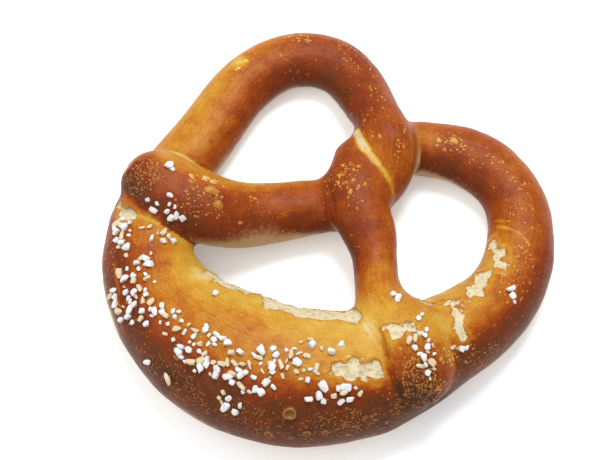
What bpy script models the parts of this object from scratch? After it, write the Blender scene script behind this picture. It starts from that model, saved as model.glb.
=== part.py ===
"""A Bavarian soft pretzel: one rope of dough, thick in the belly and thin in the arms, whose two
ends cross in a full twist and are pressed on to the belly. It was baked flat on a tray.

Metres, +Z up. The origin is on the tray, under the middle of the pretzel. +Y runs from the belly
to the twist, and +X to the right-hand loop.
"""

import bmesh
import bpy
import numpy as np

MM = 0.001

SECTION_SIDES = 30  # points round the rope
RING_SPACING = 5.0 * MM  # from one ring of points to the next
CAP_ROUNDING = 0.48  # an end tapers off over this share of its own width
CAP_RINGS = 5

CRUST_COLOUR = (0.46, 0.155, 0.04, 1.0)
CRUST_ROUGHNESS = 0.38

# The route of the rope, in millimetres: where its middle lies, and how wide and high it is there.
# A middle lower than half the height leaves a flat where the rope sat on the tray.
#     x      y      z   wide  high
ROUTE = (
    (-64.0, -17.6, 21.0, 29.5, 20.0),  # left end, on the left shoulder
    (-42.5, -13.0, 18.0, 28.5, 19.0),  # left arm, coming down off the shoulder
    (-30.3, -3.2, 12.0, 25.5, 18.5),
    (-15.3, 11.3, 10.5, 22.3, 18.0),
    (-3.5, 24.0, 10.5, 22.0, 18.0),  # under the right arm
    (2.5, 36.0, 12.0, 21.0, 18.0),
    (-1.5, 47.0, 18.0, 22.0, 18.0),  # over the right arm
    (-11.8, 56.0, 15.5, 19.3, 18.0),
    (-23.7, 63.6, 11.0, 20.6, 18.0),
    (-39.7, 70.4, 8.0, 22.2, 18.5),  # left loop
    (-55.9, 64.8, 8.0, 22.6, 18.5),
    (-66.8, 45.7, 8.0, 23.6, 19.0),
    (-67.0, 19.0, 8.0, 24.5, 19.0),
    (-64.5, -15.5, 10.0, 28.0, 22.0),  # left shoulder, under the left end
    (-56.5, -35.0, 12.0, 32.5, 26.0),
    (-37.0, -51.0, 13.0, 40.5, 31.0),
    (-10.0, -56.0, 16.0, 50.5, 36.0),
    (18.0, -50.0, 17.0, 52.0, 38.0),  # belly
    (41.5, -31.5, 16.0, 45.5, 36.0),
    (57.1, -5.5, 14.0, 34.8, 31.0),
    (65.1, 21.0, 11.0, 28.6, 25.0),  # right shoulder
    (59.0, 47.0, 9.0, 25.5, 21.0),
    (43.0, 63.5, 8.0, 24.0, 19.0),  # right loop
    (26.0, 66.5, 8.0, 24.0, 18.5),
    (8.0, 60.0, 8.0, 22.5, 18.0),
    (-5.5, 49.0, 9.0, 23.0, 17.5),  # under the left arm
    (-6.5, 34.0, 15.0, 25.0, 18.0),  # over the left arm
    (1.9, 21.2, 17.0, 25.0, 18.0),
    (13.3, 12.6, 16.0, 19.4, 17.0),  # right arm
    (24.8, -1.2, 18.0, 16.6, 16.0),
    (38.0, -12.6, 24.5, 25.0, 18.0),
    (50.5, -18.8, 26.5, 30.0, 19.0),  # right end, on the belly
    (56.6, -23.8, 24.5, 28.0, 18.0),
)


def cleared_scene():
    """Removes whatever the file opened with."""
    for obj in list(bpy.data.objects):
        bpy.data.objects.remove(obj)


def spline_through(knots, spacing):
    """A natural cubic spline through the knots, by chord length, with a point every spacing."""
    knots = np.asarray(knots, float)
    chord = np.linalg.norm(np.diff(knots[:, :3], axis=0), axis=1)
    at = np.concatenate([[0.0], np.cumsum(chord)])
    count = len(knots)
    system = np.eye(count)
    bend = np.zeros_like(knots)
    slope = np.diff(knots, axis=0) / chord[:, None]
    for i in range(1, count - 1):
        system[i, i - 1 : i + 2] = chord[i - 1], 2 * (chord[i - 1] + chord[i]), chord[i]
        bend[i] = 6 * (slope[i] - slope[i - 1])
    second = np.linalg.solve(system, bend)
    where = np.linspace(0, at[-1], int(round(at[-1] / spacing)) + 1)
    span = np.clip(np.searchsorted(at, where, side="right") - 1, 0, count - 2)
    width = chord[span][:, None]
    right = (where - at[span])[:, None] / width
    left = 1 - right
    return (
        left * knots[span]
        + right * knots[span + 1]
        + ((left**3 - left) * second[span] + (right**3 - right) * second[span + 1]) * width**2 / 6
    )


def capped(stations):
    """The stations with each end closed by rings that shrink as a quarter ellipse does."""
    out = []
    angles = np.linspace(0, np.pi / 2, CAP_RINGS + 1)[1:-1]
    for inner, beyond, sign in ((stations[0], stations[1], 1), (stations[-1], stations[-2], -1)):
        reach = CAP_ROUNDING * inner[3]
        way = inner[:3] - beyond[:3]
        way /= np.linalg.norm(way)
        rings = []
        for angle in angles:
            ring = inner.copy()
            ring[:3] += way * reach * np.sin(angle)
            ring[3:] *= np.cos(angle)
            rings.append(ring)
        tip = inner.copy()
        tip[:3] += way * reach
        tip[3:] = 0
        out.append(([tip] + rings[::-1]) if sign > 0 else (rings + [tip]))
    return np.vstack([out[0], stations, out[1]])


def rope_mesh(stations):
    """A closed tube: an ellipse at each station, upright and square to the route, and a point at
    each end."""
    middle = stations[:, :3]
    way = np.gradient(middle, axis=0)
    way /= np.linalg.norm(way, axis=1)[:, None]
    side = np.cross(way, (0.0, 0.0, 1.0))
    side /= np.linalg.norm(side, axis=1)[:, None]
    up = np.cross(side, way)
    turn = np.linspace(0, 2 * np.pi, SECTION_SIDES, endpoint=False)
    ring = (
        middle[:, None]
        + side[:, None] * np.cos(turn)[None, :, None] * stations[:, 3, None, None] / 2
        + up[:, None] * np.sin(turn)[None, :, None] * stations[:, 4, None, None] / 2
    )
    bm = bmesh.new()
    start = bm.verts.new(ring[0, 0])
    loops = [[bm.verts.new(p) for p in points] for points in ring[1:-1]]
    end = bm.verts.new(ring[-1, 0])
    for k in range(SECTION_SIDES):
        n = (k + 1) % SECTION_SIDES
        bm.faces.new((start, loops[0][n], loops[0][k]))
        bm.faces.new((end, loops[-1][k], loops[-1][n]))
        for here, there in zip(loops, loops[1:]):
            bm.faces.new((here[k], here[n], there[n], there[k]))
    bmesh.ops.recalc_face_normals(bm, faces=bm.faces)
    mesh = bpy.data.meshes.new("pretzel")
    bm.to_mesh(mesh)
    bm.free()
    return mesh


def crust_material():
    """Glossy lye crust, chestnut brown."""
    material = bpy.data.materials.new("crust")
    material.use_nodes = True
    shader = material.node_tree.nodes["Principled BSDF"]
    shader.inputs["Base Color"].default_value = CRUST_COLOUR
    shader.inputs["Roughness"].default_value = CRUST_ROUGHNESS
    shader.inputs["Metallic"].default_value = 0.0
    return material


def tray_cutter():
    """A block whose top is the tray, at z = 0. It cuts the underside of the dough flat."""
    size = 400 * MM
    bm = bmesh.new()
    bmesh.ops.create_cube(bm, size=size)
    bmesh.ops.translate(bm, verts=bm.verts, vec=(0, 0, -size / 2))
    mesh = bpy.data.meshes.new("tray_cutter")
    bm.to_mesh(mesh)
    bm.free()
    cutter = bpy.data.objects.new("tray_cutter", mesh)
    cutter.hide_render = True
    cutter.display_type = "WIRE"
    bpy.context.scene.collection.objects.link(cutter)
    return cutter


def pretzel():
    """The rope as one solid: where it lies on itself the Boolean joins it, and the tray cuts it."""
    stations = capped(spline_through(np.array(ROUTE) * MM, RING_SPACING))
    obj = bpy.data.objects.new("pretzel", rope_mesh(stations))
    bpy.context.scene.collection.objects.link(obj)
    obj.data.materials.append(crust_material())
    obj.data.shade_smooth()
    cut = obj.modifiers.new("baked_flat", "BOOLEAN")
    cut.operation = "DIFFERENCE"
    cut.object = tray_cutter()
    cut.solver = "EXACT"
    cut.use_self = True
    return obj


cleared_scene()
pretzel()
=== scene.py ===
"""The looks of a Bavarian soft pretzel: lye crust, torn crumb, blisters and coarse salt.

Metres, +Z up, with the tray at z = 0. +Y runs from the belly to the twist, +X to the right loop.
Sizes typed in tables are millimetres.
"""

import math

import bmesh
import bpy
import numpy as np
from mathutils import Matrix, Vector
from mathutils.bvhtree import BVHTree


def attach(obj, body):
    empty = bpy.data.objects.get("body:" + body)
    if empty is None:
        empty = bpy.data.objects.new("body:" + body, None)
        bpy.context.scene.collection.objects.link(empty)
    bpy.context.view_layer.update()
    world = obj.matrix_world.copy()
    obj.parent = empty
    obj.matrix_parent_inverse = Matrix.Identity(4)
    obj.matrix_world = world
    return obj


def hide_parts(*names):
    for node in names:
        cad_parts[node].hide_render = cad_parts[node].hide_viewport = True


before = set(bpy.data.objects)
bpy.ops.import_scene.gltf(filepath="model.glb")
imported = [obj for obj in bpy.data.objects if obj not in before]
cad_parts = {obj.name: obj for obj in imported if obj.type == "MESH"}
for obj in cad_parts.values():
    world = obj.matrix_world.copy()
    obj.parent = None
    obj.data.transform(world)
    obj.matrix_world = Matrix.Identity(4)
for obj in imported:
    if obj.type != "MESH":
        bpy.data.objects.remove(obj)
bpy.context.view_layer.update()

MM = 0.001

# The rope of dough, from the left end to the right end, in millimetres: where its middle lies,
# how wide and high it is there, and how far its left side, its top and its right side are baked,
# from 0, cream, over golden and chestnut, to 1, nearly black. Left and right are as one travels.
#     x      y      z   wide  high   left  top right
ROPE = (
    (-64.0, -17.6, 21.0, 29.5, 20.0, 0.40, 0.67, 0.88),  # left end, on the left shoulder
    (-42.5, -13.0, 18.0, 28.5, 19.0, 0.44, 0.70, 0.78),  # left arm, coming down off the shoulder
    (-30.3, -3.2, 12.0, 25.5, 18.5, 0.44, 0.66, 0.76),
    (-15.3, 11.3, 10.5, 22.3, 18.0, 0.52, 0.64, 0.78),
    (-3.5, 24.0, 10.5, 22.0, 18.0, 0.66, 0.68, 0.74),  # under the right arm
    (2.5, 36.0, 12.0, 21.0, 18.0, 0.55, 0.58, 0.60),
    (-1.5, 47.0, 18.0, 22.0, 18.0, 0.55, 0.62, 0.60),  # over the right arm
    (-11.8, 56.0, 15.5, 19.3, 18.0, 0.72, 0.68, 0.63),
    (-23.7, 63.6, 11.0, 20.6, 18.0, 0.80, 0.71, 0.68),
    (-39.7, 70.4, 8.0, 22.2, 18.5, 0.83, 0.71, 0.66),  # left loop
    (-55.9, 64.8, 8.0, 22.6, 18.5, 0.80, 0.66, 0.52),
    (-66.8, 45.7, 8.0, 23.6, 19.0, 0.72, 0.55, 0.40),
    (-67.0, 19.0, 8.0, 24.5, 19.0, 0.60, 0.44, 0.38),
    (-64.5, -15.5, 10.0, 28.0, 22.0, 0.55, 0.50, 0.55),  # left shoulder, under the left end
    (-56.5, -35.0, 12.0, 32.5, 26.0, 0.36, 0.53, 0.72),
    (-37.0, -51.0, 13.0, 40.5, 31.0, 0.26, 0.48, 0.84),
    (-10.0, -56.0, 16.0, 50.5, 36.0, 0.25, 0.46, 0.89),
    (18.0, -50.0, 17.0, 52.0, 38.0, 0.24, 0.43, 0.88),  # belly
    (41.5, -31.5, 16.0, 45.5, 36.0, 0.27, 0.40, 0.89),
    (57.1, -5.5, 14.0, 34.8, 31.0, 0.30, 0.46, 0.88),
    (65.1, 21.0, 11.0, 28.6, 25.0, 0.38, 0.55, 0.82),  # right shoulder
    (59.0, 47.0, 9.0, 25.5, 21.0, 0.55, 0.58, 0.68),
    (43.0, 63.5, 8.0, 24.0, 19.0, 0.78, 0.62, 0.55),  # right loop
    (26.0, 66.5, 8.0, 24.0, 18.5, 0.80, 0.63, 0.60),
    (8.0, 60.0, 8.0, 22.5, 18.0, 0.80, 0.60, 0.56),
    (-5.5, 49.0, 9.0, 23.0, 17.5, 0.60, 0.58, 0.58),  # under the left arm
    (-6.5, 34.0, 15.0, 25.0, 18.0, 0.57, 0.64, 0.62),  # over the left arm
    (1.9, 21.2, 17.0, 25.0, 18.0, 0.62, 0.70, 0.74),
    (13.3, 12.6, 16.0, 19.4, 17.0, 0.58, 0.68, 0.76),  # right arm
    (24.8, -1.2, 18.0, 16.6, 16.0, 0.54, 0.50, 0.68),
    (38.0, -12.6, 24.5, 25.0, 18.0, 0.46, 0.42, 0.36),
    (50.5, -18.8, 26.5, 30.0, 19.0, 0.44, 0.60, 0.54),  # right end, on the belly
    (56.6, -23.8, 24.5, 28.0, 18.0, 0.62, 0.76, 0.72),
)

STATION_SPACING = 1.5 * MM
OWN_STRETCH = 45 * MM  # dough nearer than this along the rope is the same stretch of it
BATCH = 4000  # points measured against the rope at a time
SKIN_SIDES = 64
SKIN_VOXEL = 0.84 * MM
CAP_ROUNDING = 0.48  # an end tapers off over this share of its own width
CAP_RINGS = 8
TRAY_CORNER = 0.9 * MM

FUSE_ROUNDS = 60
TWIST = (0, 35, 32)  # x, y and reach of the twist, which is fused most
CREASED = ((60, -26, 22), (-8, 16, 15))  # x, y and reach of what is fused least
BURNT_TIPS = ((-69, -21, 13), (64, -29, 13))  # x, y and reach

# Camera, from -Y round to +X and up, in degrees; its target is in millimetres.
CAMERA_AZIMUTH = 35
CAMERA_ELEVATION = 66
CAMERA_TARGET = (-10, 3, 12)
CAMERA_DISTANCE = 0.549
CAMERA_LENS = 85
# Lamps: name, azimuth, elevation, size in metres, watts.
LAMPS = (
    ("softbox", 205, 62, 0.65, 14),
    ("fill", 320, 55, 1.2, 5),
)
LAMP_DISTANCE = 1.2
WORLD_LIGHT = 0.75
TABLE_COLOUR = (0.89, 0.925, 0.955, 1)
TABLE_GLOW = 0.2
TABLE_HALF = 3.0
TABLE_GAP = 0.1 * MM  # under the pretzel


# ---------------------------------------------------------------- small numpy helpers


def smooth_step(low, high, value):
    """0 below low, 1 above high, and 3t^2 - 2t^3 between them. With low above high it falls."""
    t = np.clip((value - low) / (high - low), 0.0, 1.0)
    return t * t * (3 - 2 * t)


def value_noise(points, size, seed):
    """Smooth noise from -1 to 1: random values on a cubic lattice of the given size, blended by
    the smooth-stepped position inside each cell."""
    lattice = np.random.default_rng(seed).uniform(-1, 1, (32, 32, 32))
    cell = np.floor(points / size).astype(int)
    f = points / size - cell
    f = f * f * (3 - 2 * f)
    total = 0.0
    for corner in np.ndindex(2, 2, 2):
        weight = np.prod(np.where(corner, f, 1 - f), axis=1)
        i, j, k = ((cell + corner) % 32).T
        total = total + weight * lattice[i, j, k]
    return total


def layered_noise(points, size, seed, layers=3):
    """Value noise plus the same at half the size and half the strength, layer after layer."""
    return sum(value_noise(points, size / 2**n, seed + n) / 2**n for n in range(layers))


def spline_through(knots, spacing):
    """A natural cubic spline through the knots, by chord length, with a point every spacing."""
    chord = np.linalg.norm(np.diff(knots[:, :3], axis=0), axis=1)
    at = np.concatenate([[0.0], np.cumsum(chord)])
    count = len(knots)
    system = np.eye(count)
    bend = np.zeros_like(knots)
    slope = np.diff(knots, axis=0) / chord[:, None]
    for i in range(1, count - 1):
        system[i, i - 1 : i + 2] = chord[i - 1], 2 * (chord[i - 1] + chord[i]), chord[i]
        bend[i] = 6 * (slope[i] - slope[i - 1])
    second = np.linalg.solve(system, bend)
    where = np.linspace(0, at[-1], int(round(at[-1] / spacing)) + 1)
    span = np.clip(np.searchsorted(at, where, side="right") - 1, 0, count - 2)
    width = chord[span][:, None]
    right = (where - at[span])[:, None] / width
    left = 1 - right
    return (
        left * knots[span]
        + right * knots[span + 1]
        + ((left**3 - left) * second[span] + (right**3 - right) * second[span + 1]) * width**2 / 6
    )


def mesh_piece(name, verts, faces, material, smooth=True):
    """An object at the origin from vertex and face arrays."""
    mesh = bpy.data.meshes.new(name)
    mesh.from_pydata(verts.tolist(), [], faces.tolist())
    mesh.polygons.foreach_set("use_smooth", np.full(len(mesh.polygons), smooth))
    mesh.materials.append(material)
    mesh.update()
    obj = bpy.data.objects.new(name, mesh)
    bpy.context.scene.collection.objects.link(obj)
    return obj


def vertex_array(mesh):
    """The mesh's points as an array, one row each."""
    out = np.empty(len(mesh.vertices) * 3)
    mesh.vertices.foreach_get("co", out)
    return out.reshape(-1, 3)


def face_array(mesh, sides):
    """The point numbers of a mesh's faces, one row each, where all have the same number of sides."""
    out = np.empty(len(mesh.loops), int)
    mesh.loops.foreach_get("vertex_index", out)
    return out.reshape(-1, sides)


def paint(mesh, name, values):
    """Stores one number for each point under a name that materials can read."""
    layer = mesh.attributes.new(name, "FLOAT", "POINT")
    layer.data.foreach_set("value", np.ascontiguousarray(values, dtype=np.float32))


# ---------------------------------------------------------------- the rope and its coordinates


class Rope:
    """The route of the dough: its middle, its directions and its half sizes, station by station."""

    def __init__(self):
        knots = np.array(ROPE)
        knots[:, :5] *= MM
        stations = spline_through(knots, STATION_SPACING)
        self.middle = stations[:, :3]
        self.half_wide = stations[:, 3] / 2
        self.half_high = stations[:, 4] / 2
        self.tones = stations[:, 5:]
        way = np.gradient(self.middle, axis=0)
        self.way = way / np.linalg.norm(way, axis=1)[:, None]
        side = np.cross(self.way, (0.0, 0.0, 1.0))
        self.side = side / np.linalg.norm(side, axis=1)[:, None]
        self.up = np.cross(self.side, self.way)
        step = np.linalg.norm(np.diff(self.middle, axis=0), axis=1)
        self.along = np.concatenate([[0.0], np.cumsum(step)])

    def surface(self):
        """A grid of points, along the rope by round it: an ellipse square to the route at each
        station, closed by rings that shrink to a tip as a quarter ellipse does."""
        turn = np.linspace(0, 2 * np.pi, SKIN_SIDES, endpoint=False)
        angle = np.linspace(np.pi / 2, 0, CAP_RINGS + 1)[:-1]
        count = len(self.middle)
        index = np.pad(np.arange(count), CAP_RINGS, mode="edge")
        angles = np.concatenate([-angle, np.zeros(count), angle[::-1]])
        shift = CAP_ROUNDING * 2 * self.half_wide[index] * np.sin(angles)
        shrink = np.maximum(np.cos(angles), 1e-3)
        middle = self.middle[index] + self.way[index] * shift[:, None]
        wide = (self.half_wide[index] * shrink)[:, None, None]
        high = (self.half_high[index] * shrink)[:, None, None]
        return (
            middle[:, None]
            + self.side[index][:, None] * np.cos(turn)[None, :, None] * wide
            + self.up[index][:, None] * np.sin(turn)[None, :, None] * high
        )

    def nearest(self, points):
        """For each point: the station whose ellipse it lies nearest to, how far out it is in that
        ellipse (1 on its edge), and the same distance for the nearest other stretch of rope."""
        best = np.empty(len(points), int)
        out = np.empty(len(points))
        other = np.empty(len(points))
        for start in range(0, len(points), BATCH):
            part = slice(start, start + BATCH)
            away = points[part, None] - self.middle[None]
            across = np.einsum("psk,sk->ps", away, self.side) / self.half_wide
            lift = np.einsum("psk,sk->ps", away, self.up) / self.half_high
            on = np.einsum("psk,sk->ps", away, self.way) / self.half_wide
            far = np.sqrt(across**2 + lift**2 + on**2)
            at = far.argmin(axis=1)
            best[part] = at
            rows = np.arange(len(at))
            out[part] = far[rows, at]
            near = np.abs(self.along[None] - self.along[at][:, None]) < OWN_STRETCH
            other[part] = np.where(near, 9.0, far).min(axis=1)
        return best, out, other


def grid_faces(rows, columns):
    """Quads of a grid that closes round its columns."""
    i, j = np.meshgrid(np.arange(rows - 1), np.arange(columns), indexing="ij")
    n = (j + 1) % columns
    here, there = i * columns, (i + 1) * columns
    return np.stack([here + j, there + j, there + n, here + n], -1).reshape(-1, 4)


def dough_skin(rope):
    """The rope's grid as one skin: Voxel Remesh joins it wherever it lies on itself."""
    grid = rope.surface()
    rows, columns = grid.shape[:2]
    verts = grid.reshape(-1, 3)
    quads = grid_faces(rows, columns)
    caps = [np.arange(columns)[::-1].tolist(), ((rows - 1) * columns + np.arange(columns)).tolist()]
    mesh = bpy.data.meshes.new("rope")
    mesh.from_pydata(verts.tolist(), [], quads.tolist() + caps)
    mesh.update()
    obj = bpy.data.objects.new("rope", mesh)
    bpy.context.scene.collection.objects.link(obj)
    remesh = obj.modifiers.new("one_skin", "REMESH")
    remesh.mode = "VOXEL"
    remesh.voxel_size = SKIN_VOXEL
    skin = bpy.data.meshes.new_from_object(obj.evaluated_get(bpy.context.evaluated_depsgraph_get()))
    bpy.data.objects.remove(obj)
    return skin


# ---------------------------------------------------------------- tears, creases and spots


# Where the crust tore open and shows crumb: each tear is a chain of x, y, z and half width, in
# millimetres.
TEARS = (
    # along the belly's inner edge
    ((-27, -36, 22, 1.6), (-20.5, -34.6, 20.8, 5.8), (-14, -33.3, 22.3, 6.5), (-8.5, -31.5, 22.5, 3.6)),
    ((-4, -31, 23, 4.2), (2.5, -30.8, 24.4, 7.2), (9, -29.3, 25.5, 6.9), (13.5, -27.5, 25, 4.2)),
    ((16, -26.6, 25, 4.2), (19.5, -25.3, 26, 5.8), (26, -22.3, 26.5, 4.6)),
    # on the belly, left of the right end
    ((32.3, -46, 35, 0.8), (35.3, -42, 35, 3.2), (40.5, -38, 34.5, 3.7), (45.6, -33.8, 33.5, 3.0)),
    # under the left end
    ((-73, -31, 18, 1.2), (-68.5, -33, 21, 1.8), (-63.5, -32.8, 23.5, 1.5), (-58, -32, 25, 0.4)),
    ((-71, -28, 20, 0.9), (-68, -31, 22, 1.2)),
    # where the right end leaves the stem
    ((41, -19.5, 33, 1.8), (43.8, -19.3, 34.5, 2.8), (46.8, -16.2, 35.5, 1.5)),
    ((41.8, -20.5, 33, 1.3), (43.2, -24.5, 33, 0.6)),
    # down the right shoulder
    ((51.8, 37.6, 15.5, 1.5), (55.5, 33.5, 18.5, 2.3), (59.3, 29.5, 21.5, 2.5)),
    ((57.5, 25, 20.5, 0.9), (56, 19.5, 22, 2.8), (57, 13, 24.5, 3.1), (57.5, 9.5, 25.5, 1.7)),
    ((57, 9, 25.5, 1.4), (53, 4.2, 26.8, 1.5), (49.5, 0.5, 26.8, 1.2), (45, -2, 26.5, 1.5)),
    ((53, 4, 27, 1.2), (58, 0.6, 28, 1.4), (62, -3.1, 28, 1.2), (64.5, -7.4, 28, 0.7)),
)
# Thin lines where the crust has stretched: how far they are baked, and a chain of the same kind.
STRETCH_LINES = (
    (0.26, ((46, 46.3, 14, -0.2), (50, 46.9, 17, 0.0), (53.5, 47.3, 18, -0.4))),  # right loop
    (0.18, ((46.5, 44, 14, 0.0), (52.9, 44.8, 18, 0.1), (57.3, 45.1, 19, 0.0), (62.5, 43.5, 20, 0.0))),
    (0.13, ((-32.5, -39, 23, 1.4), (-28, -37.6, 23.5, 2.6), (-24, -37.5, 23, 1.8))),  # belly's inner edge
    (0.45, ((-58, -51, 22, 0.1), (-53, -57, 23, 0.5), (-48, -61, 23, 0.1))),  # low on the belly
    (0.48, ((-54, -56, 20, 0.1), (-47, -63.5, 22, 0.5), (-42, -66.5, 22, 0.1))),
    (0.50, ((-49, -63, 19, 0.1), (-42, -69, 20, 0.4), (-36, -72, 20, 0.1))),
)
# Creases between two rolls of dough: depth, how much painted shade darkens them (added to how far
# they are baked), and a chain of x, y and half width, seen from above.
CREASES = (
    # round the right end
    (1.1, 0.16, ((38.4, -21.2, -0.4), (45.3, -27, 0.0), (50, -31.5, 0.2), (54.5, -34.3, 0.2))),
    (1.0, 0.14, ((54.5, -34.3, 0.2), (59, -36.4, 0.1), (64, -33, 0.0))),
    (0.5, 0.05, ((64, -33, 0.0), (68.8, -27, 0.0), (69.5, -20.2, 0.0), (67.5, -15, 0.0))),
    (0.5, 0.02, ((67.5, -15, 0.0), (64, -10, -0.2), (56.3, -9.3, -0.5))),
    # where the left arm goes under the right arm
    (0.5, 0.05, ((-14.3, 21.8, -0.3), (-9.5, 18.1, 0.0), (-5.5, 14.2, 0.0), (-2.9, 11.8, -0.3))),
)
CREASE_FLOOR = 17 * MM  # creases fade below this height
TEAR_DEPTH = 0.55 * MM
TEAR_LIP = 0.35 * MM
TEAR_FLOOR = 9 * MM  # no tear reaches below this height

# Seams between two stretches of rope that show a pale line: x, y, reach, the line's half width and
# how far it is baked.
PALE_SEAMS = (
    (-11, 44, 9, 2.2, 0.02),  # the twist, wide where the arms part
    (-4, 39, 7, 1.3, 0.08),
    (2, 34.5, 7, 0.7, 0.15),
    (8, 31, 8, 0.4, 0.22),
    (-65.5, -1, 22, 1.3, 0.0),  # over the left end
)

# How much paler or darker the seams between two stretches of rope are: x, y, reach, change. Paler
# is the dough's own tone at a seam; darker, a change above 0, is painted shade between the parts.
SEAM_TONES_AND_SHADE = (
    (0, 39, 18, -0.18),  # the twist
    (6, 52, 14, -0.10),
    # painted shade: darker where the left arm goes under the right arm
    (-8, 15, 12, 0.06),  # the left arm under the right arm
    (-66, -1, 16, -0.24),  # over the left end
    (-62, -31, 13, -0.34),
    (40, -22, 12, -0.10),  # round the right end
    # painted shade: darker in the crease round the right end
    (46, -31, 14, 0.04),
    (58, -7, 10, -0.12),
    (67, -18, 9, -0.16),
    # painted shade: darker in the crease round the right end
    (61, -35, 9, 0.04),
)

# Where the crust is baked more or less than its stretch of rope: x, y, reach, change.
BAKE_SPOTS = (
    (-69, -20, 10, 0.06),  # burnt tip of the left end
    (-80, -19, 8, -0.38),
    (63, -30, 10, 0.08),  # burnt tip of the right end
    (65, -30, 3, 0.30),
    (-72, 46, 5, -0.3),  # pale spots outside the left loop
    (-68, -33, 8, -0.3),  # pale dough under the left end
    (-28, -38, 8, -0.16),  # yellow lumps where the belly's tear begins
    (46, -12, 16, -0.12),  # golden base of the right end
    (33, -20, 13, -0.12),
    (36, -30, 12, -0.10),
    (58, 3, 12, -0.08),
    (20, -38, 16, -0.05),
    (9, 60, 8, -0.14),  # where the right loop leaves the twist
    (-46, -40, 12, 0.04),
    (0, -44, 10, 0.05),
    (34, -27, 5, 0.10),
)

# Where the dough stayed pale further up its side: x, y, reach and how much further.
FOOT_SPOTS = (
    (-35, -12, 42, 1.0),  # under the left arm
    (12, 50, 18, 0.40),  # where the right loop begins
    (-50, -64, 36, 0.85),  # left half of the belly
    (0, -80, 40, 0.60),
    (50, -60, 36, 0.50),
)


def chain_depth(points, chain):
    """How deep each point lies inside a chain of tapered capsules: half width less distance to the
    nearest link, the half width running straight from one joint to the next."""
    chain = np.array(chain, float) * MM
    depth = np.full(len(points), -1.0)
    for a, b in zip(chain[:-1], chain[1:]):
        link = b[:3] - a[:3]
        t = np.clip((points - a[:3]) @ link / (link @ link), 0, 1)
        away = np.linalg.norm(points - a[:3] - t[:, None] * link, axis=1)
        depth = np.maximum(depth, a[3] + t * (b[3] - a[3]) - away)
    return depth


def near_spot(plan, x, y, reach):
    """1 at the spot, falling to 0 at its reach: (1 - r^2)^2."""
    r2 = ((plan[:, 0] - x * MM) ** 2 + (plan[:, 1] - y * MM) ** 2) / (reach * MM) ** 2
    return np.clip(1 - r2, 0, 1) ** 2


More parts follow.
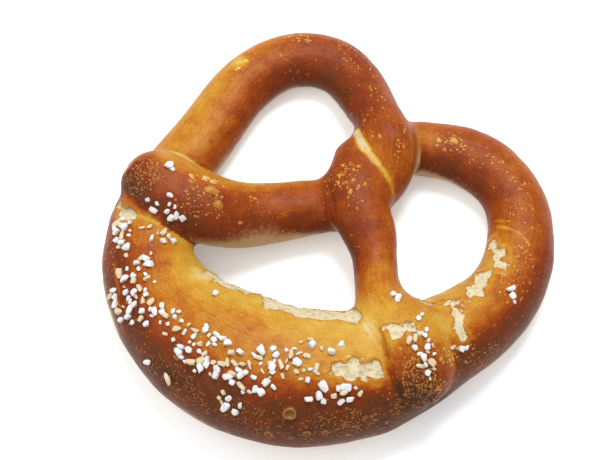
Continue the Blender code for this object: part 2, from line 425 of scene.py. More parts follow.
class Crust:
    """Everything the crust's shape and finish depend on, one number for each point of the skin."""

    def __init__(self, mesh, rope):
        self.mesh = mesh
        self.rope = rope
        self.points = vertex_array(mesh)
        edges = np.empty(len(mesh.edges) * 2, int)
        mesh.edges.foreach_get("vertices", edges)
        self.edges = edges.reshape(-1, 2)
        self.station, self.out, self.other = rope.nearest(self.points)

    def store(self):
        """Writes the points back to the mesh."""
        self.mesh.vertices.foreach_set("co", self.points.ravel())
        self.mesh.update()

    def normals(self):
        """The mesh's point normals."""
        self.store()
        out = np.empty(len(self.points) * 3)
        self.mesh.vertex_normals.foreach_get("vector", out)
        return out.reshape(-1, 3)

    def neighbour_mean(self, values):
        """Each point's mean over the points it shares an edge with."""
        a, b = self.edges.T
        count = len(values)
        number = np.bincount(a, minlength=count) + np.bincount(b, minlength=count)
        columns = []
        for column in values.T:
            total = np.bincount(a, column[b], count) + np.bincount(b, column[a], count)
            columns.append(total / number)
        return np.stack(columns, -1)

    def fuse_seams(self):
        """Relaxes the skin near a seam, so that touching stretches of rope grow into each other:
        each round moves a point part of the way to its neighbours' mean. The second half of the
        rounds works on the twist alone, and two light rounds all over end it."""
        twist = near_spot(self.points[:, :2], *TWIST)
        weight = smooth_step(1.75, 1.1, self.other - 0.5 * twist)[:, None]
        for x, y, reach in CREASED:
            weight *= 1 - 0.75 * near_spot(self.points[:, :2], x, y, reach)[:, None]
        for round_number in range(2 * FUSE_ROUNDS):
            if round_number == FUSE_ROUNDS:
                weight = weight * smooth_step(0, 0.5, twist)[:, None]
            self.points += weight * 0.5 * (self.neighbour_mean(self.points) - self.points)
        for _ in range(2):
            self.points += 0.5 * (self.neighbour_mean(self.points) - self.points)

    def sit_on_tray(self):
        """Flattens what would go below z = 0, rounding the corner with a parabola: z becomes
        (z + k)^2 / 4k between -k and k."""
        k = TRAY_CORNER
        z = self.points[:, 2]
        self.points[:, 2] = np.where(z > k, z, np.where(z < -k, 0, (z + k) ** 2 / (4 * k)))

    def across(self):
        """Where each point is across the rope, from -1 on the left side to 1 on the right."""
        s = self.station
        away = self.points - self.rope.middle[s]
        return np.einsum("pk,pk->p", away, self.rope.side[s]) / self.rope.half_wide[s]

    def lift(self):
        """Where each point is up the rope's section, from -1 at its bottom to 1 at its top."""
        s = self.station
        away = self.points - self.rope.middle[s]
        return np.einsum("pk,pk->p", away, self.rope.up[s]) / self.rope.half_high[s]

    def tears(self):
        """How far inside a tear each point lies, with ragged edges from noise."""
        ragged = layered_noise(self.points, 4.5 * MM, 31) * 2.0 * MM
        ragged += layered_noise(self.points, 2.0 * MM, 32) * 1.0 * MM
        deep = np.max([chain_depth(self.points, chain) for chain in TEARS], axis=0) + ragged
        return np.minimum(deep, self.points[:, 2] - TEAR_FLOOR)

    def pale_seam(self, x, y, reach, half):
        """How strongly each point shows a pale seam: 1 at the seam, within the spot's reach."""
        seam = (self.other - 1) * self.rope.half_wide[self.station]
        zone = near_spot(self.points[:, :2], x, y, reach)
        depth = half * MM * smooth_step(0, 0.35, zone) - seam - 0.2 * MM
        return smooth_step(-1.0 * MM, 0.8 * MM, depth) * smooth_step(0, 0.12, zone)

    def creases(self):
        """How far the skin sinks into creases, and how much painted shade darkens them there."""
        sink = np.zeros(len(self.points))
        crease_shade = np.zeros(len(self.points))
        flat = self.points * (1, 1, 0)
        high = smooth_step(CREASE_FLOOR - 2 * MM, CREASE_FLOOR, self.points[:, 2])
        # the middle column is painted shade, added to how far the crust is baked
        for depth, bake, chain in CREASES:
            level_chain = [(x, y, 0, half) for x, y, half in chain]
            inside = high * smooth_step(-1.5 * MM, 0.0, chain_depth(flat, level_chain))
            sink = np.maximum(sink, depth * MM * inside)
            crease_shade = np.maximum(crease_shade, bake * inside)
        return sink, crease_shade

    def baking(self, torn):
        """How far the crust is baked: the rope's three tones blended across it, changed in spots and
        seams, golden round tears and in stretch lines, with soft mottling. Creases and some seams are
        darkened further with painted shade."""
        s = self.station
        across = self.across()
        left, top, right = self.rope.tones[s].T
        bake = np.where(
            across < 0,
            top + (left - top) * smooth_step(0.05, 0.8, -across),
            top + (right - top) * smooth_step(0.05, 0.75, across),
        )
        plan = self.points[:, :2]
        for x, y, reach, change in BAKE_SPOTS:
            bake = bake + change * near_spot(plan, x, y, reach)
        seam = smooth_step(1.2, 1.0, self.other)
        # seams paler in the dough's own tone, and darkened by painted shade where the change is above 0
        for x, y, reach, change in SEAM_TONES_AND_SHADE:
            bake = bake + change * seam * smooth_step(0, 0.4, near_spot(plan, x, y, reach))
        halo = smooth_step(-4.5 * MM, 0, torn)
        bake += (0.30 - bake) * 0.7 * halo
        for tone, chain in STRETCH_LINES:
            line = smooth_step(-0.9 * MM, 0.3 * MM, chain_depth(self.points, chain))
            bake += (tone - bake) * line
        for *seam_place, tone in PALE_SEAMS:
            bake += (tone - bake) * self.pale_seam(*seam_place)
        # painted shade: the creases are drawn darker, as if more baked
        bake += self.creases()[1]
        return bake + 0.05 * layered_noise(self.points, 9 * MM, 11)

    def relief(self, torn):
        """How far the skin stands out: slow lumps, sunken ragged crumb with a lip round it, which
        is a bell curve of the distance from the tear's edge, sunken creases and wrinkled tips."""
        lumps = 0.35 * MM * layered_noise(self.points, 15 * MM, 3, 2)
        lumps += 0.10 * MM * layered_noise(self.points, 4.5 * MM, 5, 2)
        crumb = smooth_step(-0.3 * MM, 0.8 * MM, torn)
        rough = layered_noise(self.points, 2.6 * MM, 17, 2) * 0.3 * MM
        lip = TEAR_LIP * np.exp(-(((torn + 0.8 * MM) / (0.9 * MM)) ** 2))
        rise = lumps + crumb * (rough - TEAR_DEPTH) + lip - self.creases()[0]
        return rise + self.burn() * layered_noise(self.points, 2.4 * MM, 23, 2) * 0.45 * MM

    def foot(self):
        """How pale the lowest dough is, which the tray kept from browning: on thin rope it reaches
        up past the rope's widest part, on the belly only near the tray."""
        thin = smooth_step(20 * MM, 12 * MM, self.rope.half_wide[self.station])
        lift = self.lift() + 0.12 * layered_noise(self.points, 6 * MM, 51, 2)
        top = -0.15 + 0.35 * thin
        for x, y, reach, rise in FOOT_SPOTS:
            top = top + rise * near_spot(self.points[:, :2], x, y, reach)
        free = smooth_step(24 * MM, 14 * MM, self.points[:, 2]) * smooth_step(1.0, 1.2, self.other)
        return (0.8 + 0.2 * thin) * smooth_step(top, top - 0.85, lift) * free

    def rope_places(self):
        """How far along the rope and how far round it each point lies, in millimetres."""
        s = self.station
        away = self.points - self.rope.middle[s]
        run = self.rope.along[s] + np.einsum("pk,pk->p", away, self.rope.way[s])
        return run / MM, np.arctan2(self.across(), self.lift()) * self.rope.half_wide[s] / MM

    def burn(self):
        """1 where an arm's tip is burnt and wrinkled, 0 elsewhere."""
        near = np.max([near_spot(self.points[:, :2], *tip) for tip in BURNT_TIPS], axis=0)
        return smooth_step(16 * MM, 22 * MM, self.points[:, 2]) * smooth_step(0.1, 0.7, near)

    def shape(self):
        """Shapes the skin in its final order, then stores what the material reads."""
        self.fuse_seams()
        self.sit_on_tray()
        torn = self.tears()
        bake = self.baking(torn)
        burn = self.burn()
        above_tray = smooth_step(0, 2 * MM, self.points[:, 2])
        self.points += self.normals() * (self.relief(torn) * above_tray)[:, None]
        self.store()
        paint(self.mesh, "bake", bake)
        paint(self.mesh, "torn", torn / MM)
        paint(self.mesh, "burn", burn)
        paint(self.mesh, "blister", self.blistering())
        paint(self.mesh, "foot", self.foot())
        run, turn = self.rope_places()
        paint(self.mesh, "run", run)
        paint(self.mesh, "turn", turn)
        self.bake = bake

    def blistering(self):
        """How thickly the crust is blistered: most on the belly's outer side and the tips."""
        s = self.station
        along = self.rope.along[s] / self.rope.along[-1]
        belly = smooth_step(0.44, 0.52, along) * smooth_step(0.76, 0.70, along)
        outer = smooth_step(0.35, 0.95, self.across())
        high = smooth_step(5 * MM, 10 * MM, self.points[:, 2])
        patchy = smooth_step(-0.35, 0.75, layered_noise(self.points, 11 * MM, 41, 2))
        return np.clip((0.05 + 0.40 * patchy + 0.4 * belly * outer) * high + 0.5 * self.burn(), 0, 1)


# ---------------------------------------------------------------- materials


class Finish:
    """A node material put together by name."""

    def __init__(self, name):
        self.material = bpy.data.materials.new(name)
        self.material.use_nodes = True
        self.tree = self.material.node_tree
        self.shader = self.tree.nodes["Principled BSDF"]
        self.place = self.add("ShaderNodeTexCoord").outputs["Object"]

    def add(self, kind, **values):
        """A node with its properties and sockets set. A small letter begins a property, a capital
        a socket, and I0, I1 and so on are sockets by number."""
        node = self.tree.nodes.new(kind)
        for key, value in values.items():
            if key[0].islower():
                setattr(node, key, value)
            else:
                self.feed(node.inputs[int(key[1:]) if key[1:].isdigit() else key], value)
        return node

    def feed(self, socket, value):
        """Links a socket to the input, or sets its value."""
        if isinstance(value, bpy.types.NodeSocket):
            self.tree.links.new(value, socket)
        else:
            socket.default_value = value

    def reckon(self, operation, a, b=0.0, c=0.0):
        """One Math node."""
        return self.add("ShaderNodeMath", operation=operation, I0=a, I1=b, I2=c).outputs[0]

    def attribute(self, name):
        """One of the piece's own numbers."""
        return self.add("ShaderNodeAttribute", attribute_name=name).outputs["Fac"]

    def noise(self, size, detail=2.0, roughness=0.5):
        """Noise from about -0.5 to 0.5 with features of the given size in millimetres."""
        scale = 1 / (size * MM)
        node = self.add(
            "ShaderNodeTexNoise", Vector=self.place, Scale=scale, Detail=detail, Roughness=roughness
        )
        return self.reckon("SUBTRACT", node.outputs["Fac"], 0.5)

    def stretched_noise(self, place, scale, detail):
        """Noise from about -0.5 to 0.5 on a place of its own, with its own scale each way."""
        mapping = self.add("ShaderNodeMapping", Vector=place, Scale=scale)
        node = self.add("ShaderNodeTexNoise", Vector=mapping.outputs[0], Scale=1.0, Detail=detail)
        return self.reckon("SUBTRACT", node.outputs["Fac"], 0.5)

    def steps(self, value, low, high):
        """0 below low and 1 above high, smooth between."""
        node = self.add("ShaderNodeMapRange", interpolation_type="SMOOTHSTEP", I0=value, I1=low, I2=high)
        return node.outputs["Result"]

    def ramp(self, value, stops):
        """A colour for each value, straight between the stops."""
        node = self.add("ShaderNodeValToRGB", Fac=value)
        elements = node.color_ramp.elements
        while len(elements) < len(stops):
            elements.new(0.5)
        for element, (at, colour) in zip(elements, stops):
            element.position = at
            element.color = (*colour, 1)
        return node.outputs["Color"]

    def mix(self, share, a, b):
        """Colour a, and colour b where share is 1."""
        node = self.add("ShaderNodeMix", data_type="RGBA", I0=share, I6=a, I7=b)
        return node.outputs[2]


# The crust's colour as it bakes, as linear red, green and blue.
BAKE_COLOURS = (
    (0.00, (0.48, 0.41, 0.275)),
    (0.10, (0.47, 0.33, 0.115)),
    (0.20, (0.44, 0.262, 0.042)),
    (0.32, (0.405, 0.205, 0.019)),
    (0.45, (0.345, 0.117, 0.007)),
    (0.60, (0.250, 0.048, 0.003)),
    (0.75, (0.150, 0.022, 0.003)),
    (0.88, (0.090, 0.024, 0.006)),
    (1.00, (0.048, 0.018, 0.008)),
)
BLISTER_COLOURS = (
    (0.10, (0.47, 0.33, 0.10)),
    (0.30, (0.40, 0.215, 0.030)),
    (0.45, (0.32, 0.140, 0.014)),
    (0.60, (0.23, 0.085, 0.009)),
    (0.80, (0.12, 0.042, 0.008)),
    (1.00, (0.05, 0.020, 0.010)),
)
CRUMB = (0.52, 0.45, 0.295)
CRUMB_SHADE = (0.37, 0.29, 0.155)
FOOT_COLOUR = (0.43, 0.265, 0.125)
FINE_BLISTER_CELLS = (1.8, 1.15)  # millimetres, on average one cell to the next
FINE_BLISTER = 0.17  # a fine blister's least half width, as a share of its cell


def fine_blisters(f, size, level, height):
    """Blisters of one size, at random in cells: where the crust's own number lets a cell have one,
    a dome half as baked as the crust round it."""
    cell = f.add("ShaderNodeTexVoronoi", Vector=f.place, Scale=1 / (size * MM))
    pick = f.add("ShaderNodeSeparateColor", Color=cell.outputs["Color"])
    chosen = f.reckon("LESS_THAN", pick.outputs["Red"], f.attribute("blister"))
    span = f.reckon("MULTIPLY_ADD", pick.outputs["Green"], FINE_BLISTER, FINE_BLISTER)
    shape = f.reckon("DIVIDE", cell.outputs["Distance"], span)
    dome = f.reckon("MULTIPLY", chosen, f.steps(shape, 1.0, 0.35))
    level = f.reckon("MULTIPLY_ADD", dome, f.reckon("MULTIPLY", level, -0.5), level)
    return level, f.reckon("MULTIPLY_ADD", dome, 0.16 * size, height)


def crust_finish():
    """Glossy lye crust over pale crumb. Its colour follows how far it is baked, in blotches,
    streaks along the rope and fine grain, browner just round a tear and sooty at the burnt tips.
    Fine blisters are paler, the dough at the tray is beige, and torn places show matt crumb."""
    f = Finish("lye crust")
    along = f.add("ShaderNodeCombineXYZ", X=f.attribute("run"), Y=f.attribute("turn"), Z=0.0)
    streak = f.stretched_noise(along.outputs[0], (0.10, 0.75, 1.0), 3.0)
    thread = f.stretched_noise(along.outputs[0], (0.35, 2.4, 1.0), 2.0)
    blotch, grain = f.noise(5.0, 3.0), f.noise(0.8, 2.0)
    level = f.attribute("bake")
    for part, share in ((blotch, 0.26), (streak, 0.18), (thread, 0.12), (grain, 0.26)):
        level = f.reckon("MULTIPLY_ADD", part, share, level)

    height = f.reckon("MULTIPLY", f.noise(0.5, 2.0), 0.07)
    height = f.reckon("MULTIPLY_ADD", thread, 0.12, height)
    for size in FINE_BLISTER_CELLS:
        level, height = fine_blisters(f, size, level, height)

    ragged = f.reckon("MULTIPLY_ADD", f.noise(1.3, 3.0), 1.7, f.attribute("torn"))
    fringe = f.steps(ragged, -1.3, -0.1)
    level = f.reckon("MULTIPLY_ADD", fringe, 0.11, level)
    soot = f.reckon("MULTIPLY", f.attribute("burn"), f.steps(f.noise(2.2, 3.0), -0.10, 0.14))
    level = f.reckon("MULTIPLY_ADD", soot, 0.14, level)
    colour = f.ramp(level, BAKE_COLOURS)
    foot = f.reckon("MULTIPLY_ADD", f.noise(1.5, 3.0), 0.5, f.attribute("foot"))
    colour = f.mix(f.steps(foot, 0.0, 0.8), colour, (*FOOT_COLOUR, 1))

    open_crumb = f.steps(ragged, -0.15, 0.30)
    pores = f.steps(f.noise(1.5, 3.0, 0.6), 0.04, -0.16)
    crumb = f.mix(f.reckon("MULTIPLY", pores, 0.6), (*CRUMB, 1), (*CRUMB_SHADE, 1))
    f.feed(f.shader.inputs["Base Color"], f.mix(open_crumb, colour, crumb))

    height = f.reckon("MULTIPLY_ADD", f.reckon("MULTIPLY", pores, open_crumb), -0.18, height)
    height = f.reckon("MULTIPLY_ADD", open_crumb, -0.12, height)
    bump = f.add("ShaderNodeBump", Strength=1.0, Distance=MM, Height=height)
    f.feed(f.shader.inputs["Normal"], bump.outputs["Normal"])
    gloss = f.reckon("MULTIPLY_ADD", f.noise(3.0, 3.0), 0.2, 0.35)
    rough = f.add("ShaderNodeMix", data_type="FLOAT", I0=open_crumb, I2=gloss, I3=0.9)
    f.feed(f.shader.inputs["Roughness"], rough.outputs[0])
    f.shader.inputs["Specular IOR Level"].default_value = 0.09
    return f.material


def blister_finish():
    """The thin skin of a blister: the crust's own colours, some steps paler, and shinier."""
    f = Finish("blister skin")
    level = f.reckon("MULTIPLY_ADD", f.noise(0.7, 2.0), 0.2, f.attribute("bake"))
    f.feed(f.shader.inputs["Base Color"], f.ramp(level, BLISTER_COLOURS))
    f.shader.inputs["Roughness"].default_value = 0.34
    f.shader.inputs["Specular IOR Level"].default_value = 0.25
    return f.material


def salt_finish(name, colour):
    """Opaque coarse salt: faintly clouded, with a soft frosted gloss."""
    f = Finish(name)
    cloud = f.steps(f.noise(0.9, 2.0), -0.2, 0.2)
    shade = tuple(0.86 * c for c in colour)
    f.feed(f.shader.inputs["Base Color"], f.mix(cloud, (*shade, 1), (*colour, 1)))
    frost = f.reckon("MULTIPLY", f.noise(0.4), 0.2)
    bump = f.add("ShaderNodeBump", Strength=0.6, Distance=MM, Height=frost)
    f.feed(f.shader.inputs["Normal"], bump.outputs["Normal"])
    f.shader.inputs["Roughness"].default_value = 0.45
    return f.material


# ---------------------------------------------------------------- what lies on the crust


OVERHEAD = 0.1  # higher than anything on the pretzel
TRIES = 60  # for each place wanted in a strip


def strewn_places(rng, strips, taken, gap):
    """Plan points scattered over oval strips, none closer than the gap to one already taken. A
    strip is its middle, half length, half breadth, turn in degrees and how many places it gets."""
    places = []
    for x, y, half_long, half_broad, turn, wanted in strips:
        cosine, sine = math.cos(math.radians(turn)), math.sin(math.radians(turn))
        for _ in range(wanted * TRIES):
            if not wanted:
                break
            a, b = rng.uniform(-1, 1, 2)
            if a * a + b * b > 1:
                continue
            u, v = a * half_long, b * half_broad
            place = np.array([x + u * cosine - v * sine, y + u * sine + v * cosine]) * MM
            if all(np.hypot(*(place - other)) > gap for other in taken):
                taken.append(place)
                places.append(place)
                wanted -= 1
    return places


def on_crust(crust_tree, place, lowest=0.0, level=0.0):
    """The crust straight below a place in plan: the spot, its normal and its face. There is none
    off the crust, under the lowest height, or where the normal rises less than level."""
    spot, normal, face, _ = crust_tree.ray_cast(Vector((*place, OVERHEAD)), Vector((0, 0, -1)))
    if spot is None or spot.z < lowest or normal.z < level:
        return None
    return spot, normal, face


def strewn_piece(name, spots, frames, shapes, faces, material, smooth=True):
    """One mesh of many small shapes, each carried by its frame to its spot."""
    verts = spots[:, None] + np.einsum("gvk,gkc->gvc", shapes, frames)
    offset = (np.arange(len(spots)) * shapes.shape[1])[:, None, None]
    return mesh_piece(name, verts.reshape(-1, 3), (faces[None] + offset).reshape(-1, 3), material, smooth)


# ---------------------------------------------------------------- salt


# Where salt fell, seen from above, in millimetres: the strewn strip's middle, its half length and
# half breadth, the way it runs in degrees from +X, how many white grains and how many beige.
SALT_STREWN = (
    (-61.5, -12, 2.5, 1, -50, 2, 0),  # on the left end
    (-53, -24, 9, 4, 20, 10, 0),
    (-62, -41, 7, 4, -45, 10, 4),  # left shoulder
    (-50, -35, 7, 3, 10, 3, 5),
    (-47, -51, 11, 7, -45, 13, 9),
    (-44, -64, 9, 4, -30, 9, 3),
    (-33, -62, 8, 5, -10, 9, 3),  # along the belly
    (-19, -62, 9, 5, -30, 11, 4),
    (-5, -62, 10, 7, -20, 15, 10),
    (-8, -70, 6, 2, 0, 4, 1),
    (12, -60, 10, 8, 10, 17, 11),
    (20, -50, 11, 6, 15, 8, 11),
    (39, -50, 10, 3, 40, 9, 3),
    (53, -17, 7, 5, -40, 7, 6),  # right end
    (60, -23, 5, 4, -60, 3, 5),
    (48, -9, 3, 1, -60, 2, 0),
    (37, -7, 3, 1, 20, 2, 0),
    (69, 20, 4, 3, -60, 3, 0),  # strays
    (64, -9, 5, 2, 20, 2, 1),
    (31, -34, 1, 1, 0, 1, 0),
    (-18, -43, 1, 1, 0, 1, 0),
    (10, -73, 6, 3, 0, 4, 3),
    (-22, -76, 14, 1, 0, 2, 1),
    (22, -42, 12, 4, 20, 2, 4),
)
GRAIN_GAP = 1.7 * MM  # between the middles of two grains
GRAIN_CUTS = 4  # besides the six near the faces of a cube
GRAIN_CUT = 0.72  # what the cuts leave of a ball's radius, more or less
GRAIN_STANDS = 0.62  # how much of a grain's lower half stands clear of the crust
GRAIN_RESTS = (8 * MM, 0.2)  # lowest and steepest crust that it rests on
# name, seed, colour, which column of the table counts them, usual half width, how slender
SALTS = (
    ("white_salt", 7, (0.62, 0.61, 0.595), 5, 1.25 * MM, 1.0),
    ("beige_salt", 8, (0.55, 0.44, 0.27), 6, 0.95 * MM, 1.35),
)


def ico_ball():
    """A ball of 80 triangles, as points on the unit sphere and faces."""
    mesh = bpy.data.meshes.new("ball")
    bm = bmesh.new()
    bmesh.ops.create_icosphere(bm, subdivisions=2, radius=1.0)
    bm.to_mesh(mesh)
    bm.free()
    verts, faces = vertex_array(mesh), face_array(mesh, 3)
    bpy.data.meshes.remove(mesh)
    return verts, faces


def crystals(rng, count, usual, slender):
    """Crushed crystals, one row of points each: what is left of a ball after flat cuts. Along a
    direction u its radius is the least of 1 and d / (u.n) over the cuts with normal n at depth d.
    Each is then drawn out along one axis and pressed along another."""
    ball, faces = ico_ball()
    block = np.concatenate([np.eye(3), -np.eye(3)])[None] + rng.normal(scale=0.22, size=(count, 6, 3))
    normal = np.concatenate([block, rng.normal(size=(count, GRAIN_CUTS, 3))], axis=1)
    normal /= np.linalg.norm(normal, axis=2)[:, :, None]
    depth = rng.uniform(0.50, 0.78, (count, 6 + GRAIN_CUTS))
    facing = np.einsum("vk,gck->gvc", ball, normal)
    reach = np.where(facing > 0.05, depth[:, None] / np.maximum(facing, 0.05), 1.0)
    radius = np.minimum(reach.min(axis=2), 1.0)
    stretch = np.stack(
        [rng.uniform(0.85, 1.35, count), rng.uniform(0.65, 1.05, count), rng.uniform(0.6, 0.9, count)], -1
    )
    stretch[:, 0] *= slender
    size = usual * rng.uniform(0.5, 1.3, count) / GRAIN_CUT
    return ball[None] * radius[:, :, None] * stretch[:, None] * size[:, None, None], faces


def upright(normal, spin):
    """Rows of a frame whose last axis is the normal, turned by spin about it."""
    normal = np.array(normal)
    first = np.cross(normal, (math.cos(spin), math.sin(spin), 0.1))
    first /= np.linalg.norm(first)
    return np.stack([first, np.cross(normal, first), normal])


def salt_piece(name, seed, strips, usual, slender, taken, crust_tree, material):
    """Grains of one kind as one mesh, each sunk a little into the crust under it."""
    rng = np.random.default_rng(seed)
    places = strewn_places(rng, strips, taken, GRAIN_GAP)
    shapes, faces = crystals(rng, len(places), usual, slender)
    spots, frames, laid = [], [], []
    for place, shape in zip(places, shapes):
        hit = on_crust(crust_tree, place, *GRAIN_RESTS)
        if hit is None:
            continue
        spot, normal, _ = hit
        spots.append(spot)
        frames.append(upright(normal, rng.uniform(0, 2 * math.pi)))
        laid.append(shape - (0, 0, shape[:, 2].min() * GRAIN_STANDS))
    spots, frames, laid = np.array(spots), np.array(frames), np.array(laid)
    return strewn_piece(name, spots, frames, laid, faces, material, smooth=False)


# ---------------------------------------------------------------- blisters


# Where the crust blistered: the cluster's middle, half length, half breadth and turn as for salt,
# how many blisters, their usual half width and height in millimetres, and how much less baked.
BLISTERS = (
    # x, y, half long, half broad, turn, count, half width, height, paler
    (-44, -9.6, 0.1, 0.1, 0, 1, 2.0, 0.9, 0.22),  # left arm
    (-38.5, -12.5, 0.1, 0.1, 0, 1, 1.7, 0.8, 0.16),
    (-46, -5.8, 0.1, 0.1, 0, 1, 1.5, 0.6, 0.30),
    (-49, -6.5, 0.1, 0.1, 0, 1, 1.2, 0.5, 0.32),
    (-53.5, -9.5, 0.1, 0.1, 0, 1, 0.9, 0.4, 0.32),
    (-46.5, -10, 8, 5, 20, 24, 0.55, 0.3, 0.28),
    (-44.5, -17, 10, 6, 30, 70, 0.42, 0.22, 0.26),
    (-29, -12.5, 0.1, 0.1, 0, 1, 0.9, 0.45, 0.30),
    (-32.5, -3, 6, 2, 45, 6, 0.6, 0.3, 0.26),
    (-67.5, -20, 6, 8, 0, 120, 0.38, 0.25, 0.22),  # tip of the left end
    (-9, 24, 8, 5, 70, 70, 0.38, 0.2, 0.30),  # the twist
    (-2, 20.5, 0.1, 0.1, 0, 1, 1.1, 0.5, 0.30),
    (-4, 26, 7, 5, 60, 16, 0.6, 0.3, 0.30),
    (2, 18, 4, 3, 0, 8, 0.45, 0.22, 0.28),
    (2, 49, 9, 1.6, -70, 22, 0.45, 0.2, 0.30),
    (-14, 49, 9, 4, -40, 22, 0.36, 0.18, 0.28),
    (-6, 46, 0.1, 0.1, 0, 1, 0.9, 0.3, 0.28),
    (-15.6, 50, 0.1, 0.1, 0, 1, 0.9, 0.4, 0.32),
    (16.5, 65, 0.1, 0.1, 0, 1, 1.6, 0.4, 0.34),  # where the right loop begins
    (11.5, 62, 0.1, 0.1, 0, 1, 1.1, 0.35, 0.34),
    (15, 63.5, 7, 4, 10, 28, 0.45, 0.22, 0.32),
    (30, 65, 12, 5, 0, 34, 0.38, 0.18, 0.28),
    (52, 55, 13, 6, -50, 60, 0.38, 0.18, 0.28),  # right loop
    (66, 30, 14, 6, -75, 90, 0.38, 0.2, 0.26),
    (-17, 61, 7, 3, -35, 14, 0.42, 0.22, 0.30),  # arch
    (-34, 73, 12, 4, -15, 44, 0.36, 0.18, 0.30),
    (-58, 69, 8, 3, 35, 18, 0.5, 0.2, 0.28),
    (-70.5, 47, 5, 2, 80, 8, 0.7, 0.2, 0.30),
    (-52, 60, 12, 5, 40, 20, 0.36, 0.18, 0.24),
    (-60, -55, 12, 5, -50, 70, 0.38, 0.2, 0.28),  # outer side of the belly
    (-38, -70, 14, 5, -30, 130, 0.32, 0.18, 0.24),
    (-10, -77, 16, 5, -8, 190, 0.33, 0.2, 0.24),
    (20, -74, 16, 6, 12, 240, 0.33, 0.2, 0.25),
    (46, -58, 14, 6, 42, 280, 0.36, 0.22, 0.26),
    (66, -34, 13, 7, 62, 330, 0.38, 0.26, 0.28),
    (74, -10, 14, 5, 80, 170, 0.36, 0.22, 0.26),
    (66, -12, 8, 4, 60, 40, 0.5, 0.28, 0.28),
    (60, -28, 7, 6, -40, 160, 0.38, 0.26, 0.26),  # tip of the right end
    (54, -24, 6, 5, -40, 40, 0.38, 0.2, 0.22),
    (-14.5, -70, 0.1, 0.1, 0, 1, 1.4, 0.5, 0.30),  # single ones on the belly
    (31.5, -34.5, 0.1, 0.1, 0, 1, 1.6, 0.5, 0.20),
    (35.5, -36.5, 0.1, 0.1, 0, 1, 0.8, 0.4, 0.20),
    (-43.5, -62, 0.1, 0.1, 0, 1, 1.0, 0.5, 0.28),
    (-60, -62, 0.1, 0.1, 0, 1, 0.9, 0.4, 0.24),
    (69, -30, 9, 4, 65, 26, 0.85, 0.5, 0.20),
    (76, -10, 10, 3, 78, 14, 0.75, 0.4, 0.20),
    (54, -50, 9, 4, 40, 16, 0.75, 0.4, 0.20),
    (72, -38, 0.1, 0.1, 0, 1, 1.3, 0.7, 0.28),
)
# Bubbles that burst and left a rim: x, y, half width.
BURST_BUBBLES = (
    (30, -64, 2.3),
    (27, -72.5, 1.5),
    (38, -65, 1.2),
    (43, -61, 1.2),
    (34, -69, 0.9),
)
# A bubble's height in the middle, then the radius and height of each ring, all as shares of its
# half width, and how far each ring is baked.
BUBBLE_PROFILE = (0.04, (0.3, 0.06), (0.55, 0.16), (0.72, 0.42), (0.86, 0.42), (1.0, 0.18), (1.2, -0.1))
BUBBLE_TONES = (0.72, 0.74, 0.60, 0.56, 0.78, 0.90)
BUBBLE_SIDES = 20
# A blister's height in the middle, then the radius and height of each ring; 1 - r^2 all over.
BLISTER_PROFILE = (1.0, (0.4, 0.84), (0.75, 0.44), (1.0, 0.0))
BLISTER_SIDES = 8
BLISTER_SINK = 0.12 * MM
BLISTER_GAP = 1.6  # between two blisters' middles, in half widths
BLISTER_RISES = (6 * MM, 0.1)  # lowest and steepest crust that it rises from


def round_shape(rng, count, profile, sides, waver):
    """Round shapes of unit half width, one row of points each: rings of the profile's radius and
    height about a middle point, the outline wavering by two slow waves round it."""
    turn = np.linspace(0, 2 * np.pi, sides, endpoint=False)
    phase = rng.uniform(0, 2 * np.pi, (count, 2, 1))
    outline = 1 + waver * (0.57 * np.cos(2 * turn + phase[:, 0]) + 0.43 * np.cos(3 * turn + phase[:, 1]))
    middle_height, rings = profile[0], np.array(profile[1:])
    flat = rings[None, :, 0, None] * outline[:, None]
    points = np.zeros((count, 1 + len(rings) * sides, 3))
    points[:, 0, 2] = middle_height
    points[:, 1:, 0] = (flat * np.cos(turn)).reshape(count, -1)
    points[:, 1:, 1] = (flat * np.sin(turn)).reshape(count, -1)
    points[:, 1:, 2] = np.repeat(rings[:, 1], sides)
    k = np.arange(sides)
    n = (k + 1) % sides
    fan = np.stack([np.zeros_like(k), 1 + k, 1 + n], -1)
    bands = [
        np.concatenate([np.stack([a + k, b + k, b + n], -1), np.stack([a + k, b + n, a + n], -1)])
        for a, b in ((1 + i * sides, 1 + (i + 1) * sides) for i in range(len(rings) - 1))
    ]
    return points, np.concatenate([fan, *bands])


def along_rope(crust, spots, normals):
    """Frames on the crust, one for each spot: the first axis along the rope, the last outwards."""
    way = crust.rope.way[crust.rope.nearest(spots)[0]]
    first = np.cross(np.cross(normals, way), normals)
    first /= np.linalg.norm(first, axis=1)[:, None]
    return np.stack([first, np.cross(normals, first), normals], 1)


def blister_piece(crust_tree, crust, face_points, material):
    """Low domes on the crust, drawn out along the rope, each as baked as a point of the face it is
    on, less its cluster's share."""
    rng = np.random.default_rng(5)
    spots, normals, sizes, bakes = [], [], [], []
    for *strip, width, height, paler in BLISTERS:
        for place in strewn_places(rng, [strip], [], BLISTER_GAP * width * MM):
            hit = on_crust(crust_tree, place, *BLISTER_RISES)
            if hit is None:
                continue
            spot, normal, face = hit
            grow = rng.uniform(0.5, 1.45) if strip[-1] > 1 else 1.0
            spots.append(spot)
            normals.append(normal)
            sizes.append((width * grow * rng.uniform(1.0, 1.5), width * grow, height * grow))
            bakes.append(crust.bake[face_points[face]] - paler + rng.uniform(-0.06, 0.06))
    spots, normals = np.array(spots), np.array(normals)
    shapes, faces = round_shape(rng, len(spots), BLISTER_PROFILE, BLISTER_SIDES, 0.28)
    shapes = shapes * np.array(sizes)[:, None] * MM
    shapes[:, :, 2] -= BLISTER_SINK
    frames = along_rope(crust, spots, normals)
    piece = strewn_piece("blisters", spots, frames, shapes, faces, material)
    paint(piece.data, "bake", np.repeat(bakes, shapes.shape[1]))
    return piece


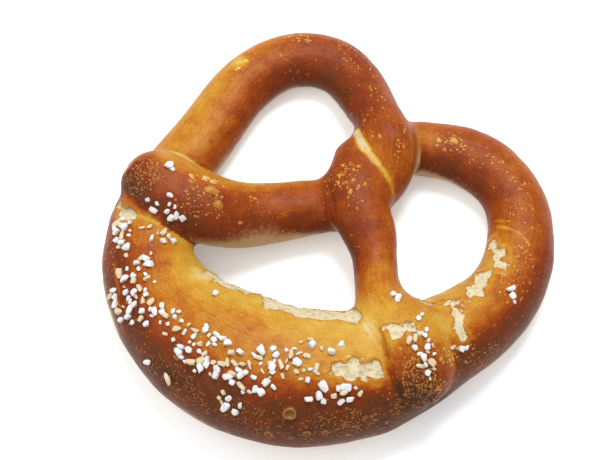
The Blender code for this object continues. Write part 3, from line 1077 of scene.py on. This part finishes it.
def burst_bubble_piece(crust_tree, crust, material):
    """Bubbles that burst: the profile turned about its middle, a paler rim round a brown floor."""
    rng = np.random.default_rng(6)
    hits = [on_crust(crust_tree, (x * MM, y * MM)) for x, y, _ in BURST_BUBBLES]
    spots = np.array([spot for spot, _, _ in hits])
    normals = np.array([normal for _, normal, _ in hits])
    shapes, faces = round_shape(rng, len(spots), BUBBLE_PROFILE, BUBBLE_SIDES, 0.12)
    size = np.array([half for _, _, half in BURST_BUBBLES]) * MM
    shapes = shapes * size[:, None, None] * np.array((1.15, 0.9, 1.0))
    frames = along_rope(crust, spots, normals)
    piece = strewn_piece("burst_bubbles", spots, frames, shapes, faces, material)
    tones = np.concatenate([BUBBLE_TONES[:1], np.repeat(BUBBLE_TONES, BUBBLE_SIDES)])
    paint(piece.data, "bake", np.tile(tones, len(spots)))
    return piece


# ---------------------------------------------------------------- making it


def crust_piece(rope):
    """The pretzel's skin, shaped and painted, and the numbers it was shaped by."""
    mesh = dough_skin(rope)
    crust = Crust(mesh, rope)
    crust.shape()
    mesh.polygons.foreach_set("use_smooth", np.full(len(mesh.polygons), True))
    mesh.materials.clear()
    mesh.materials.append(crust_finish())
    mesh.update()
    obj = bpy.data.objects.new("crust", mesh)
    bpy.context.scene.collection.objects.link(obj)
    return obj, crust


def direction(azimuth, elevation):
    """The unit vector towards a place seen at this azimuth, from -Y round to +X, and elevation."""
    azimuth, elevation = math.radians(azimuth), math.radians(elevation)
    flat = math.cos(elevation)
    return Vector((math.sin(azimuth) * flat, -math.cos(azimuth) * flat, math.sin(elevation)))


def studio(scene):
    """Pale table, soft light from above and behind, and the camera."""
    corners = np.array([[-1, -1, 0], [1, -1, 0], [1, 1, 0], [-1, 1, 0]]) * TABLE_HALF
    corners[:, 2] = -TABLE_GAP
    finish = Finish("pale table")
    finish.shader.inputs["Base Color"].default_value = TABLE_COLOUR
    finish.shader.inputs["Roughness"].default_value = 0.9
    finish.shader.inputs["Specular IOR Level"].default_value = 0.1
    finish.shader.inputs["Emission Color"].default_value = (1, 1, 1, 1)
    finish.shader.inputs["Emission Strength"].default_value = TABLE_GLOW
    mesh_piece("table", corners, np.array([[0, 1, 2, 3]]), finish.material)

    world = bpy.data.worlds.new("studio")
    world.use_nodes = True
    world.node_tree.nodes["Background"].inputs["Color"].default_value = (1, 1, 1, 1)
    world.node_tree.nodes["Background"].inputs["Strength"].default_value = WORLD_LIGHT
    scene.world = world

    for name, azimuth, elevation, size, power in LAMPS:
        lamp = bpy.data.objects.new(name, bpy.data.lights.new(name, "AREA"))
        lamp.data.shape = "DISK"
        lamp.data.size = size
        lamp.data.energy = power
        place = direction(azimuth, elevation) * LAMP_DISTANCE
        lamp.location = place
        lamp.rotation_mode = "QUATERNION"
        lamp.rotation_quaternion = (-place).to_track_quat("-Z", "Y")
        scene.collection.objects.link(lamp)

    camera = bpy.data.objects.new("camera", bpy.data.cameras.new("camera"))
    back = direction(CAMERA_AZIMUTH, CAMERA_ELEVATION)
    camera.data.lens = CAMERA_LENS
    camera.data.clip_start = 0.01
    camera.location = Vector(CAMERA_TARGET) * MM + back * CAMERA_DISTANCE
    camera.rotation_mode = "QUATERNION"
    camera.rotation_quaternion = (-back).to_track_quat("-Z", "Y")
    scene.collection.objects.link(camera)
    scene.camera = camera
    scene.view_settings.view_transform = "Standard"


scene = bpy.context.scene
skin, crust = crust_piece(Rope())
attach(skin, "root")
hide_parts("pretzel")

quads = face_array(skin.data, 4)
crust_tree = BVHTree.FromPolygons(crust.points.tolist(), quads.tolist())
blister_skin = blister_finish()
for piece in (
    blister_piece(crust_tree, crust, quads[:, 0], blister_skin),
    burst_bubble_piece(crust_tree, crust, blister_skin),
):
    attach(piece, "root")

taken = []
for name, seed, colour, column, usual, slender in SALTS:
    strips = [row[:5] + (row[column],) for row in SALT_STREWN]
    finish = salt_finish(name.replace("_", " "), colour)
    grains = salt_piece(name, seed, strips, usual, slender, taken, crust_tree, finish)
    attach(grains, "root")

studio(scene)
